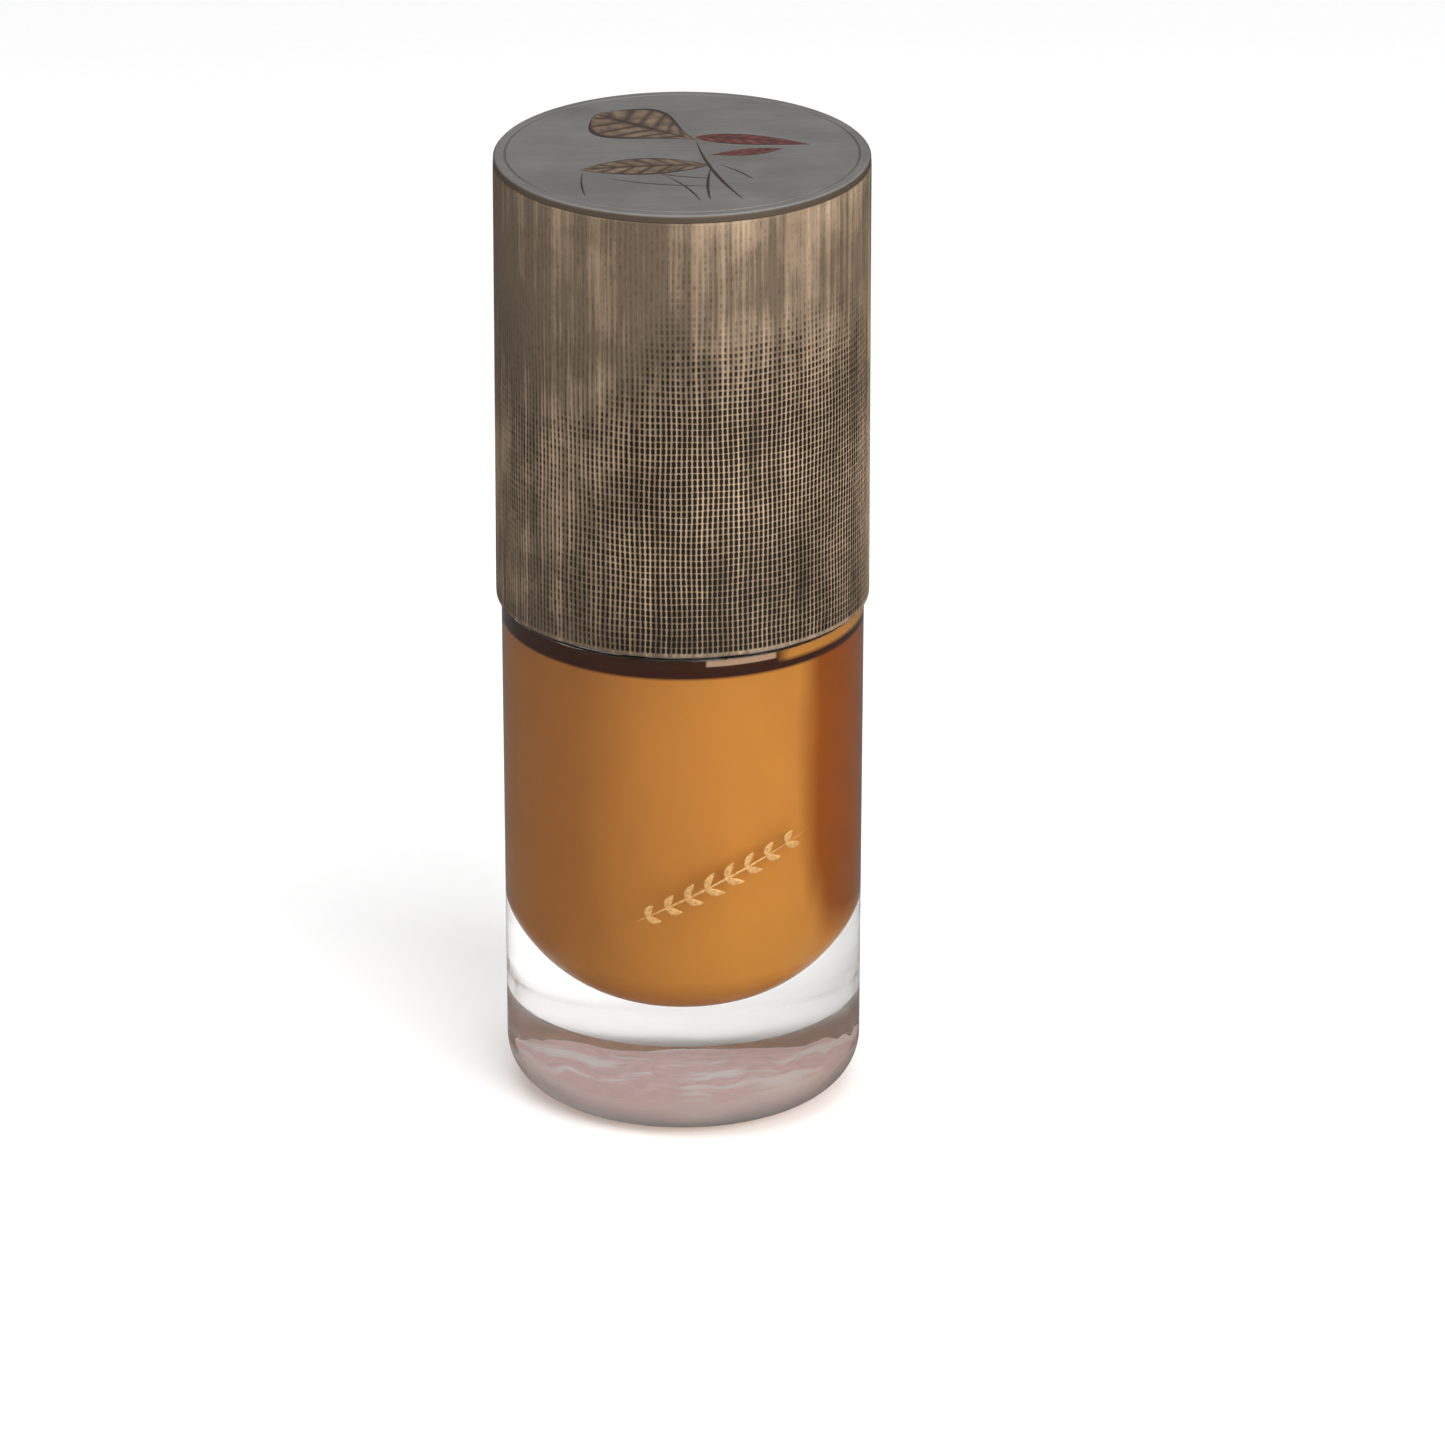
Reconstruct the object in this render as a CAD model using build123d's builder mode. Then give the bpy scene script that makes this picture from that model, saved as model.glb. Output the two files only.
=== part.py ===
from build123d import *
import os
from math import cos, radians, sin

# Aftershave spray bottle, 50 ml. The origin is the centre of the base on the surface it stands on,
# +Z is the bottle's axis and -Y is its front. All sizes are in millimetres.

# Glass bottle. Its side widens from base_radius at the foot to glass_radius at the shoulder, and
# its cavity ends in a deep bowl with a small flat floor.
glass_radius = 22.38
base_radius = 22.0
heel_radius = 5.9
shoulder_height = 67.0
shoulder_round = 2.0
punt_radius = 14.5
punt_depth = 1.2
cavity_radius = 20.0
cavity_floor = 13.5
cavity_flat = 3.0
bowl_depth = 30.5
cavity_top = 64.0
cavity_round = 2.0
neck_radius = 6.3
bore_radius = 4.75
bead_radius = 7.5
bead_bottom = 75.6
neck_top = 79.0

# Filling and label
liquid_level = 61.2
film_gap = 0.05
label_radius = 14.0
label_thickness = 0.15

# Spray pump
tube_outer = 1.45
tube_inner = 0.95
tube_bottom = 14.5
tube_top = 58.2
socket_bottom = 53.0
barrel_radius = 4.4
pump_bore = 3.5
bore_floor = 62.9
flange_bottom = 80.0
flange_top = 81.2
flange_radius = 7.3
ball_radius = 1.0
ball_centre = 60.69
stem_radius = 1.7
stem_channel = 0.8
stem_foot = 72.6
stem_top = 94.5
shoulder_of_stem = 79.25
running_gap = 0.05
wire_radius = 0.3
coil_radius = 2.6
spring_turns = 6.5
ferrule_radius = 8.0
ferrule_top = 82.8

# Collar
clip_inner = 8.1
clip_outer = 9.3
collar_radius = 10.0
collar_bottom = 67.4
collar_top = 90.0
finger_count = 8

# Button
button_radius = 6.4
button_bottom = 88.6
button_top = 102.5
spray_height = 98.5
insert_radius = 1.95

# Cap
cap_radius = 23.0
cap_rim = 65.0
sleeve_inner = 22.6
sleeve_top = 120.9
plate_top = 121.9
film_top = 122.0
liner_radius = 22.55
liner_wall = 21.6
liner_bottom = 67.15
grip_inner = 10.4
grip_outer = 11.4
grip_bottom = 71.0
grip_rib_count = 12
grip_flange = 18.5
grip_flange_thickness = 1.2
roof_bottom = 113.4
roof_top = 114.6
weight_radius = 21.4
weight_height = 4.0
groove_radius = 21.55

# Leaves of the enamel motif on the cap, each as (base, tip, width)
BROWN_LEAVES = [
    ((1.6, 5.5), (-10.8, 14.6), 9.0),
    ((3.2, -4.7), (-12.3, -6.6), 5.2),
]
RED_LEAVES = [
    ((2.2, 4.9), (15.6, 2.6), 3.4),
    ((3.5, -1.5), (11.8, 1.3), 2.2),
]

# Gold sprig on the glass: the stem rises to the right from the first point to the second
sprig_start = Vector(-6.3, 28.6)
sprig_end = Vector(15.6, 39.6)
sprig_pairs = 8
sprig_leaf_length = 2.7
sprig_leaf_width = 0.95
sprig_leaf_angle = 38
sprig_thickness = 0.08


def leaf_bulge(base, tip, width):
    """Points half way along a leaf's two sides, half a width out from its middle line."""
    start, end = Vector(*base), Vector(*tip)
    across = (end - start).normalized().rotate(Axis.Z, 90) * (width / 2)
    middle = (start + end) / 2
    return middle + across, middle - across


def export(piece, node):
    """Label a finished piece and write it as its own STEP file."""
    piece.part.label = node
    export_step(piece.part, f"parts/{node}.step")


os.makedirs("parts", exist_ok=True)

# ---------------------------------------------------------------- glass bottle
bowl_rim = cavity_floor + bowl_depth
with BuildPart() as glass_bottle:
    with BuildSketch(Plane.XZ):
        with BuildLine():
            FilletPolyline(
                (0, 0),
                (base_radius, 0),
                (glass_radius, shoulder_height),
                (0, shoulder_height),
                radius=[heel_radius, shoulder_round],
            )
            Line((0, shoulder_height), (0, 0))
        make_face()
    revolve(axis=Axis.Z)
    with BuildSketch(Plane.XY.offset(shoulder_height)):
        Circle(neck_radius)
    extrude(amount=neck_top - shoulder_height)
    fillet(
        glass_bottle.edges().filter_by_position(Axis.Z, shoulder_height, shoulder_height)
        .sort_by(SortBy.LENGTH)[0],
        radius=1.0,
    )
    with BuildSketch(Plane.XZ):
        with BuildLine():
            Polyline(
                (0, bead_bottom),
                (neck_radius, bead_bottom),
                (bead_radius, bead_bottom + 0.6),
                (bead_radius, neck_top - 0.5),
                (bead_radius - 0.5, neck_top),
                (0, neck_top),
                close=True,
            )
        make_face()
    revolve(axis=Axis.Z)
    with BuildSketch(Plane.XZ):
        with BuildLine():
            Line((0, cavity_floor), (cavity_flat, cavity_floor))
            EllipticalCenterArc(
                (cavity_flat, bowl_rim),
                cavity_radius - cavity_flat,
                bowl_depth,
                start_angle=270,
                arc_size=90,
            )
            FilletPolyline(
                (cavity_radius, bowl_rim),
                (cavity_radius, cavity_top),
                (bore_radius, cavity_top),
                radius=cavity_round,
            )
            Polyline((bore_radius, cavity_top), (bore_radius, neck_top), (0, neck_top), (0, cavity_floor))
        make_face()
    revolve(axis=Axis.Z, mode=Mode.SUBTRACT)
    with BuildSketch():
        Circle(punt_radius)
    extrude(amount=punt_depth, mode=Mode.SUBTRACT)
    fillet(
        glass_bottle.edges().filter_by_position(Axis.Z, punt_depth, punt_depth), radius=0.4
    )
export(glass_bottle, "glass_bottle")

# ---------------------------------------------------------------- liquid
with BuildPart() as liquid:
    with BuildSketch(Plane.XZ):
        with BuildLine():
            Line((0, cavity_floor + film_gap), (cavity_flat, cavity_floor + film_gap))
            EllipticalCenterArc(
                (cavity_flat, bowl_rim),
                cavity_radius - film_gap - cavity_flat,
                bowl_depth - film_gap,
                start_angle=270,
                arc_size=90,
            )
            Polyline(
                (cavity_radius - film_gap, bowl_rim),
                (cavity_radius - film_gap, liquid_level),
                (0, liquid_level),
                (0, cavity_floor + film_gap),
            )
        make_face()
    revolve(axis=Axis.Z)
    # Room for the dip tube and for the part of the pump that reaches into the liquid
    with BuildSketch(Plane.XZ):
        with BuildLine():
            Polyline(
                (0, tube_bottom - film_gap),
                (tube_outer + film_gap, tube_bottom - film_gap),
                (tube_outer + film_gap, socket_bottom - film_gap),
                (2.4, socket_bottom - film_gap),
                (2.4, 58.5),
                (barrel_radius + film_gap, 60.95),
                (barrel_radius + film_gap, liquid_level + 1),
                (0, liquid_level + 1),
                close=True,
            )
        make_face()
    revolve(axis=Axis.Z, mode=Mode.SUBTRACT)
export(liquid, "liquid")

# ---------------------------------------------------------------- label under the base
with BuildPart() as base_label:
    with BuildSketch(Plane.XY.offset(punt_depth - label_thickness)):
        Circle(label_radius)
    extrude(amount=label_thickness)
export(base_label, "base_label")

# ---------------------------------------------------------------- gold sprig on the glass
sprig_line = (sprig_end - sprig_start).normalized()
sprig_length = (sprig_end - sprig_start).length
with BuildPart() as gold_sprig:
    with BuildSketch(Plane.XZ.offset(glass_radius + 1)):
        with BuildLine():
            Line(sprig_start, sprig_end)
            offset(amount=0.16)
        make_face()
        for pair in range(sprig_pairs):
            foot = sprig_start + sprig_line * (sprig_length * (pair + 0.6) / (sprig_pairs + 0.6))
            for side in (-1, 1):
                tip = foot + sprig_line.rotate(Axis.Z, side * sprig_leaf_angle) * sprig_leaf_length
                left, right = leaf_bulge(foot, tip, sprig_leaf_width)
                with BuildLine():
                    ThreePointArc(foot, left, tip)
                    ThreePointArc(tip, right, foot)
                make_face()
    extrude(amount=-glass_radius)
    with BuildSketch(Plane.XZ):
        with BuildLine():
            Polyline(
                (base_radius, 0),
                (base_radius + sprig_thickness, 0),
                (glass_radius + sprig_thickness, shoulder_height),
                (glass_radius, shoulder_height),
                close=True,
            )
        make_face()
    revolve(axis=Axis.Z, mode=Mode.INTERSECT)
export(gold_sprig, "gold_sprig")

# ---------------------------------------------------------------- pump, fixed pieces
with BuildPart() as dip_tube:
    with BuildSketch(Plane.XY.offset(tube_bottom)):
        Circle(tube_outer)
        Circle(tube_inner, mode=Mode.SUBTRACT)
    extrude(amount=tube_top - tube_bottom)
    # Slanted end, so that the tube can't seal itself on the floor of the bottle
    split(bisect_by=Plane(origin=(0, 0, tube_bottom + 0.8), z_dir=(0.5, 0, 1)), keep=Keep.TOP)
export(dip_tube, "dip_tube")

with BuildPart() as neck_gasket:
    with BuildSketch(Plane.XY.offset(neck_top)):
        Circle(flange_radius)
        Circle(barrel_radius + 0.1, mode=Mode.SUBTRACT)
    extrude(amount=flange_bottom - neck_top)
export(neck_gasket, "neck_gasket")

with BuildPart() as pump_housing:
    with BuildSketch(Plane.XZ):
        with BuildLine():
            Polyline(
                (tube_outer + film_gap, socket_bottom),
                (tube_outer + film_gap, tube_top + 0.1),
                (0.6, tube_top + 0.1),
                (0.6, 59.85),
                (1.35, 60.6),
                (1.35, 62.4),
                (0.8, 62.4),
                (0.8, bore_floor),
                (pump_bore, bore_floor),
                (pump_bore, flange_top),
                (flange_radius, flange_top),
                (flange_radius, flange_bottom),
                (barrel_radius, flange_bottom),
                (barrel_radius, 61.0),
                (2.3, 58.5),
                (2.3, socket_bottom),
                close=True,
            )
        make_face()
    revolve(axis=Axis.Z)
export(pump_housing, "pump_housing")

with BuildPart() as pump_closure:
    with BuildSketch(Plane.XZ):
        with BuildLine():
            Polyline(
                (stem_radius + 0.1, flange_bottom),
                (pump_bore - 0.08, flange_bottom),
                (pump_bore - 0.08, flange_top + film_gap),
                (flange_radius, flange_top + film_gap),
                (flange_radius, ferrule_top - 0.45),
                (3.4, ferrule_top - 0.45),
                (3.4, 84.0),
                (stem_radius + 0.1, 84.0),
                close=True,
            )
        make_face()
    revolve(axis=Axis.Z)
export(pump_closure, "pump_closure")

with BuildPart() as stem_gasket:
    with BuildSketch(Plane.XY.offset(shoulder_of_stem + running_gap)):
        Circle(pump_bore - 0.1)
        Circle(stem_radius + running_gap, mode=Mode.SUBTRACT)
    extrude(amount=flange_bottom - shoulder_of_stem - 2 * running_gap)
export(stem_gasket, "stem_gasket")

with BuildPart() as ferrule:
    with BuildSketch(Plane.XZ):
        with BuildLine():
            Polyline(
                (neck_radius + 0.4, 75.15),
                (ferrule_radius - 0.4, 75.15),
                (ferrule_radius, 75.55),
                (ferrule_radius, ferrule_top - 0.4),
                (ferrule_radius - 0.4, ferrule_top),
                (3.6, ferrule_top),
                (3.6, ferrule_top - 0.4),
                (ferrule_radius - 0.4, ferrule_top - 0.4),
                (ferrule_radius - 0.4, 75.55),
                (neck_radius + 0.4, 75.5),
                close=True,
            )
        make_face()
    revolve(axis=Axis.Z)
export(ferrule, "ferrule")

# ---------------------------------------------------------------- pump, moving pieces
with BuildPart() as inlet_ball:
    with BuildSketch(Plane.XZ.offset(0)):
        with BuildLine():
            ThreePointArc(
                (0, ball_centre - ball_radius), (ball_radius, ball_centre), (0, ball_centre + ball_radius)
            )
            Line((0, ball_centre + ball_radius), (0, ball_centre - ball_radius))
        make_face()
    revolve(axis=Axis.Z)
export(inlet_ball, "inlet_ball")

spring_bottom = bore_floor + wire_radius + 0.02
spring_height = stem_foot - bore_floor - 2 * wire_radius - 0.04
with BuildPart() as spring:
    with BuildLine(Plane.XY.offset(spring_bottom)) as coil:
        Helix(pitch=spring_height / spring_turns, height=spring_height, radius=coil_radius)
    with BuildSketch(Plane(origin=coil.line @ 0, z_dir=coil.line % 0)):
        Circle(wire_radius)
    sweep(path=coil.line, is_frenet=True)
export(spring, "spring")

with BuildPart() as piston:
    with BuildSketch(Plane.XZ):
        with BuildLine():
            Polyline(
                (2.2, 73.7),
                (pump_bore - running_gap, 73.7),
                (pump_bore - running_gap, 74.4),
                (3.0, 74.7),
                (3.0, 75.8),
                (pump_bore - running_gap, 76.1),
                (pump_bore - running_gap, 76.75),
                (stem_radius + running_gap, 76.75),
                (stem_radius + running_gap, 75.3),
                (2.2, 75.0),
                close=True,
            )
        make_face()
    revolve(axis=Axis.Z)
export(piston, "piston")

with BuildPart() as stem:
    with BuildSketch(Plane.XZ):
        with BuildLine():
            Polyline(
                (0, stem_foot),
                (3.0, stem_foot),
                (3.0, 73.65),
                (stem_radius, 73.65),
                (stem_radius, 78.3),
                (2.4, 78.3),
                (2.4, shoulder_of_stem),
                (stem_radius, shoulder_of_stem),
                (stem_radius, stem_top - 0.3),
                (stem_radius - 0.3, stem_top),
                (stem_channel, stem_top),
                (stem_channel, 74.0),
                (0, 74.0),
                close=True,
            )
        make_face()
    revolve(axis=Axis.Z)
    # Two cross holes let the liquid into the channel when the piston lifts off its seat
    with BuildSketch(Plane.XZ.offset(-stem_radius - 1)):
        with Locations((0, 74.5)):
            Circle(0.4)
    extrude(amount=2 * stem_radius + 2, mode=Mode.SUBTRACT)
export(stem, "stem")

# ---------------------------------------------------------------- collar
with BuildPart() as collar_clip:
    with BuildSketch(Plane.XZ):
        with BuildLine():
            Polyline(
                (clip_inner, collar_bottom),
                (clip_outer, collar_bottom),
                (clip_outer, 83.8),
                (button_radius + 0.6, 83.8),
                (button_radius + 0.6, 83.1),
                (clip_inner, 83.1),
                (clip_inner, 74.9),
                (7.0, 74.9),
                (7.0, 74.0),
                (clip_inner, 73.0),
                close=True,
            )
        make_face()
    revolve(axis=Axis.Z)
    # Slots between the snap fingers
    with BuildSketch(Plane.XY.offset(collar_bottom)):
        with PolarLocations(clip_inner, finger_count):
            Rectangle(4, 0.8)
    extrude(amount=8.6, mode=Mode.SUBTRACT)
export(collar_clip, "collar_clip")

with BuildPart() as collar_shell:
    with BuildSketch(Plane.XZ):
        with BuildLine():
            FilletPolyline(
                (clip_outer + film_gap, collar_bottom),
                (collar_radius, collar_bottom),
                (collar_radius, collar_top),
                (button_radius + 0.7, collar_top),
                (button_radius + 0.7, collar_top - 0.5),
                (clip_outer + film_gap, collar_top - 0.5),
                radius=[0.1, 0.6, 0.1, 0.1],
            )
            Line((clip_outer + film_gap, collar_top - 0.5), (clip_outer + film_gap, collar_bottom))
        make_face()
    revolve(axis=Axis.Z)
export(collar_shell, "collar_shell")

# ---------------------------------------------------------------- button
with BuildPart() as actuator:
    with BuildSketch(Plane.XY.offset(button_bottom)):
        Circle(button_radius - 0.35)
    extrude(amount=101.2 - button_bottom)
    # Hollow skirt around the hub, and a shorter hub that clears the closure's boss
    with BuildSketch(Plane.XY.offset(button_bottom)):
        Circle(5.2)
        Circle(2.9, mode=Mode.SUBTRACT)
    extrude(amount=4.4, mode=Mode.SUBTRACT)
    with BuildSketch(Plane.XY.offset(button_bottom)):
        Circle(3.0)
    extrude(amount=1.4, mode=Mode.SUBTRACT)
    with BuildSketch(Plane.XY.offset(button_bottom)):
        Circle(stem_radius + running_gap)
    extrude(amount=stem_top + 0.1 - button_bottom, mode=Mode.SUBTRACT)
    with BuildSketch(Plane.XY.offset(stem_top)):
        Circle(stem_channel)
    extrude(amount=spray_height - stem_top, mode=Mode.SUBTRACT)
    # Side channel and pocket of the nozzle, with the post that the insert sits over
    with BuildSketch(Plane.XZ):
        with Locations((0, spray_height)):
            Circle(stem_channel)
    extrude(amount=2.9, mode=Mode.SUBTRACT)
    with BuildSketch(Plane.XZ.offset(2.9)):
        with Locations((0, spray_height)):
            Circle(insert_radius + film_gap)
    extrude(amount=4, mode=Mode.SUBTRACT)
    with BuildSketch(Plane.XZ.offset(2.9)):
        with Locations((0, spray_height)):
            Circle(0.95)
            with Locations((0, 0.9)):
                Circle(0.3, mode=Mode.SUBTRACT)
    extrude(amount=1.9)
export(actuator, "actuator")

with BuildPart() as actuator_shell:
    with BuildSketch(Plane.XZ):
        with BuildLine():
            Line((0, button_top - 1.1), (0, button_top - 0.7))
            ThreePointArc((0, button_top - 0.7), (2.8, button_top - 0.52), (5.5, button_top))
            ThreePointArc(
                (5.5, button_top), (button_radius - 0.25, button_top - 0.25), (button_radius, button_top - 0.9)
            )
            Polyline(
                (button_radius, button_top - 0.9),
                (button_radius, button_bottom),
                (button_radius - 0.3, button_bottom),
                (button_radius - 0.3, button_top - 1.1),
                (0, button_top - 1.1),
            )
        make_face()
    revolve(axis=Axis.Z)
    with BuildSketch(Plane.XZ.offset(4)):
        with Locations((0, spray_height)):
            Circle(insert_radius + 0.1)
    extrude(amount=4, mode=Mode.SUBTRACT)
export(actuator_shell, "actuator_shell")

with BuildPart() as nozzle_insert:
    with BuildSketch(Plane.XZ.offset(3.0)):
        with Locations((0, spray_height)):
            Circle(insert_radius)
    extrude(amount=3.6)
    with BuildSketch(Plane.XZ.offset(3.0)):
        with Locations((0, spray_height)):
            Circle(1.0)
    extrude(amount=2.6, mode=Mode.SUBTRACT)
    with BuildSketch(Plane.XZ.offset(3.0)):
        with Locations((0, spray_height)):
            Circle(0.2)
    extrude(amount=4, mode=Mode.SUBTRACT)
    chamfer(nozzle_insert.faces().sort_by(Axis.Y)[0].edges().sort_by(SortBy.LENGTH)[-1], length=0.3)
export(nozzle_insert, "nozzle_insert")

# ---------------------------------------------------------------- cap
with BuildPart() as cap_sleeve:
    with BuildSketch(Plane.XY.offset(cap_rim)):
        Circle(cap_radius)
        Circle(sleeve_inner, mode=Mode.SUBTRACT)
    extrude(amount=sleeve_top - cap_rim)
    fillet(cap_sleeve.edges().group_by(Axis.Z)[0], radius=0.15)
export(cap_sleeve, "cap_sleeve")

with BuildPart() as cap_top_plate:
    with BuildSketch(Plane.XY.offset(sleeve_top)):
        Circle(cap_radius)
    extrude(amount=plate_top - sleeve_top)
    chamfer(cap_top_plate.edges().group_by(Axis.Z)[-1], length=0.3)
    with BuildSketch(Plane.XY.offset(sleeve_top)):
        Circle(liner_wall - 0.1)
    extrude(amount=-1.0)
    with BuildSketch(Plane.XY.offset(plate_top)):
        Circle(groove_radius + 0.18)
        Circle(groove_radius - 0.18, mode=Mode.SUBTRACT)
    extrude(amount=-0.15, mode=Mode.SUBTRACT)
export(cap_top_plate, "cap_top_plate")

with BuildPart() as cap_liner:
    with BuildSketch(Plane.XZ):
        with BuildLine():
            Polyline(
                (18.8, liner_bottom),
                (liner_radius, liner_bottom),
                (liner_radius, sleeve_top - 0.1),
                (liner_wall, sleeve_top - 0.1),
                (liner_wall, roof_top),
                (0, roof_top),
                (0, roof_bottom),
                (liner_wall, roof_bottom),
                (liner_wall, liner_bottom + 1.5),
                (18.8, liner_bottom + 1.5),
                close=True,
            )
        make_face()
    revolve(axis=Axis.Z)
export(cap_liner, "cap_liner")

grip_top = roof_bottom - film_gap
with BuildPart() as grip_tube:
    with BuildSketch(Plane.XZ):
        with BuildLine():
            Polyline(
                (grip_inner, grip_top),
                (grip_inner, grip_bottom + 0.5),
                (grip_inner + 0.5, grip_bottom),
                (grip_outer, grip_bottom),
                (grip_outer, grip_top - grip_flange_thickness),
                (grip_flange, grip_top - grip_flange_thickness),
                (grip_flange, grip_top),
                close=True,
            )
        make_face()
    revolve(axis=Axis.Z)
    # Ribs that grip the collar
    with BuildSketch(Plane.XY.offset(grip_bottom + 3)):
        with PolarLocations(grip_inner, grip_rib_count):
            Rectangle(0.66, 1.0)
    extrude(amount=9.0)
export(grip_tube, "grip_tube")

with BuildPart() as cap_weight:
    with BuildSketch(Plane.XY.offset(roof_top + film_gap)):
        Circle(weight_radius)
        Circle(2.5, mode=Mode.SUBTRACT)
    extrude(amount=weight_height)
    chamfer(cap_weight.edges(), length=0.3)
export(cap_weight, "cap_weight")

foam_bottom = roof_top + film_gap + weight_height
with BuildPart() as foam_pad:
    with BuildSketch(Plane.XY.offset(foam_bottom)):
        Circle(weight_radius - 0.7)
    extrude(amount=sleeve_top - 1.0 - foam_bottom)
export(foam_pad, "foam_pad")

# ---------------------------------------------------------------- enamel motif on the cap
with BuildPart() as brown_leaves:
    with BuildSketch(Plane.XY.offset(plate_top)):
        for base, tip, width in BROWN_LEAVES:
            left, right = leaf_bulge(base, tip, width)
            with BuildLine():
                ThreePointArc(base, left, tip)
                ThreePointArc(tip, right, base)
            make_face()
    extrude(amount=film_top - plate_top)
export(brown_leaves, "brown_leaves")

with BuildPart() as red_leaves:
    with BuildSketch(Plane.XY.offset(plate_top)):
        for base, tip, width in RED_LEAVES:
            left, right = leaf_bulge(base, tip, width)
            with BuildLine():
                ThreePointArc(base, left, tip)
                ThreePointArc(tip, right, base)
            make_face()
    extrude(amount=film_top - plate_top)
export(red_leaves, "red_leaves")

with BuildPart() as leaf_stem:
    with BuildSketch(Plane.XY.offset(plate_top)):
        with BuildLine():
            ThreePointArc((7.4, -17.0), (3.9, -6.0), (1.7, 4.6))
            offset(amount=0.22)
        make_face()
    extrude(amount=film_top - plate_top)
export(leaf_stem, "leaf_stem")
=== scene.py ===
import math

import bpy
import numpy as np
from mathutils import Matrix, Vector


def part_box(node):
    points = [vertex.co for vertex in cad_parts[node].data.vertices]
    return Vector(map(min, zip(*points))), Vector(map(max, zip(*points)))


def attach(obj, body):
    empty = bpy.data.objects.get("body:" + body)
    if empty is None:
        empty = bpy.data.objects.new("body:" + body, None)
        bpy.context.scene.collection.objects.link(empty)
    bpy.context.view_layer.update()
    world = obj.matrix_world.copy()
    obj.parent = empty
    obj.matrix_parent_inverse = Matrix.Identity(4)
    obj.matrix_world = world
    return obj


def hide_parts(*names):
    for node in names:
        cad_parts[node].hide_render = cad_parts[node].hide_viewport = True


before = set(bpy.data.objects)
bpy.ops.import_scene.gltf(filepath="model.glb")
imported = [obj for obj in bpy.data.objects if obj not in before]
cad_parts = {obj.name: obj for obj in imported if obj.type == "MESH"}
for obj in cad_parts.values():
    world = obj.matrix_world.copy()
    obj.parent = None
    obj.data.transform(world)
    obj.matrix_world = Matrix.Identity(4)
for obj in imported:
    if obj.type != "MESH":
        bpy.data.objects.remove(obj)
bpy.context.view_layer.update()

bl_info = {
    "name": "Aftershave bottle",
    "version": (1, 0, 0),
    "blender": (4, 5, 0),
    "location": "View3D > Sidebar > Bottle",
    "description": "Builds the looks of an aftershave bottle on its CAD frame",
    "category": "Object",
}

MM = 0.001


def top_of(node):
    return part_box(node)[1].z


def foot_of(node):
    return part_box(node)[0].z


def radius_of(node):
    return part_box(node)[1].x


def shoulder_height():
    """The glass shoulder stands a little under the collar's lower edge."""
    return foot_of("collar_shell") - 0.4 * MM


# ---------------------------------------------------------------- sizes and colours


def size(name, description, default):
    """A length in metres, shown in the scene's units."""
    return bpy.props.FloatProperty(
        name=name, description=description, default=default, min=0.0, precision=5, unit="LENGTH"
    )


def count(name, description, default):
    return bpy.props.IntProperty(name=name, description=description, default=default, min=1)


def colour(name, description, default):
    return bpy.props.FloatVectorProperty(
        name=name, description=description, default=default, size=3, min=0.0, max=1.0, subtype="COLOR"
    )


class BottleSizes(bpy.types.PropertyGroup):
    """Sizes of the finished pieces that the frame does not fix"""

    segments: count("Segments", "Steps round each turned piece", 192)
    cords: count("Cords", "Upright cords round the woven sleeve", 227)
    thread_pitch: size("Thread pitch", "Distance from one cross thread to the next", 0.80 * MM)
    weave_depth: size("Weave depth", "Depth of the holes between cords and threads", 0.17 * MM)
    heel: size("Heel radius", "Outer radius of the bottle's heel", 5.9 * MM)
    bowl: size("Bowl depth", "Height of the cavity's half-egg bottom", 30.5 * MM)
    bowl_flat: size("Bowl floor", "Radius of the flat floor of the cavity", 3.0 * MM)
    base_radius: size("Base radius", "Radius that the glass narrows to at its base", 22.0 * MM)
    meniscus: size("Meniscus", "How far the liquid climbs up the glass", 2.5 * MM)


class BottleColours(bpy.types.PropertyGroup):
    """Colours of the finishes, as linear RGB"""

    liquid: colour("Liquid", "Amber of the aftershave", (0.62, 0.258, 0.043))
    liquid_shade: colour("Shaded liquid", "Amber on the shaded side", (0.36, 0.140, 0.032))
    # painted shade: the deep amber darkens the liquid's right side, away from the light
    liquid_right_shade: colour("Deep liquid", "Amber where the liquid is deep", (0.30, 0.072, 0.001))
    # painted shadow: the dark band just over the liquid's level, under the cap's rim
    liquid_shadow: colour("Liquid film", "Dark film where the liquid climbs the glass", (0.035, 0.007, 0.001))
    # painted highlight: a short pale strip in the painted shade under the cap's rim
    streak: colour("Pale streak", "Short pale streak in the drained band", (0.55, 0.36, 0.23))
    sleeve: colour("Sleeve", "Bronze of the cords", (0.295, 0.212, 0.138))
    sleeve_pit: colour("Sleeve patina", "Dark patina in the holes of the weave", (0.010, 0.006, 0.003))
    plate: colour("Top plate", "Satin grey of the cap's disc", (0.148, 0.144, 0.137))
    brown: colour("Brown leaves", "Enamel of the large leaves", (0.112, 0.076, 0.048))
    red: colour("Red leaves", "Enamel of the narrow leaves", (0.095, 0.022, 0.018))
    outline: colour("Leaf outline", "Dark line round the leaves", (0.022, 0.012, 0.008))
    gold: colour("Gold print", "Gold of the sprig on the glass", (0.50, 0.27, 0.09))
    # painted reflection: the dusty rose stands in for pink surroundings seen in the base
    label: colour("Base label", "Dusty rose of the label under the base", (0.90, 0.73, 0.735))
    # painted highlight: pale clouds that stand in for gleams of the glass over the label
    painted_gleam: colour("Pearl", "Pearl clouds on the label", (0.97, 0.97, 0.96))
    collar: colour("Collar", "Bronze of the collar and the button", (0.42, 0.32, 0.23))
    liner: colour("Liner", "Dark brown plastic of the cap's liner", (0.050, 0.025, 0.012))


# ---------------------------------------------------------------- shapes


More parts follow.
